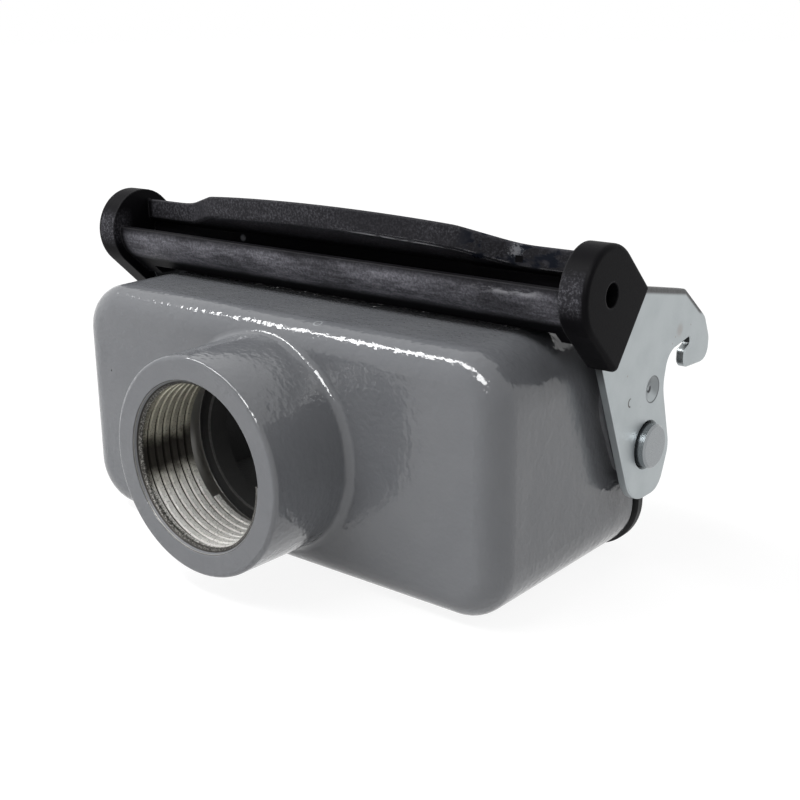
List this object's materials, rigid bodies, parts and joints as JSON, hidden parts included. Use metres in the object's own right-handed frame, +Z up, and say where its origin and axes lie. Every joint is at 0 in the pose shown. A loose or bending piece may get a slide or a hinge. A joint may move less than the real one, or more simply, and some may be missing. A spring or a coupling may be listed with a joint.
{
  "type": "rectangular connector hood with locking lever",
  "caption": "Rectangular die-cast connector hood with a straight threaded cable entry, a rim gasket and a hinged locking lever with two side hooks.",
  "frame": {"origin": "centre of the insert's four screw holes, on the seat that the insert rests on", "axes": "+X along the hood's long side, +Y out of the open rim towards the mating half, +Z up towards the lever, with the hood lying on its long side"},
  "size_m": [0.1072, 0.0746, 0.0598],
  "materials": {
    "painted_casting": "glossy mid-grey enamel with a fine orange peel",
    "black_rubber": "matt",
    "zinc_plated_steel": "bright bluish zinc plating",
    "black_plastic": "fine moulded grain with worn glossy places"
  },
  "bodies": {
    "hood": {"hood_shell": "painted_casting", "rim_gasket": "black_rubber", "peg_left": "zinc_plated_steel", "peg_right": "zinc_plated_steel"},
    "lever": {"lever_plate_left": "zinc_plated_steel", "lever_plate_right": "zinc_plated_steel", "lever_handle": "black_plastic"}
  },
  "joints": [
    {"name": "lever_pivot", "type": "hinge", "parent": "hood", "child": "lever", "pos_m": [0, 0.0048, 0], "axis": [-1, 0, 0], "range_deg": [0, 55]}
  ]
}
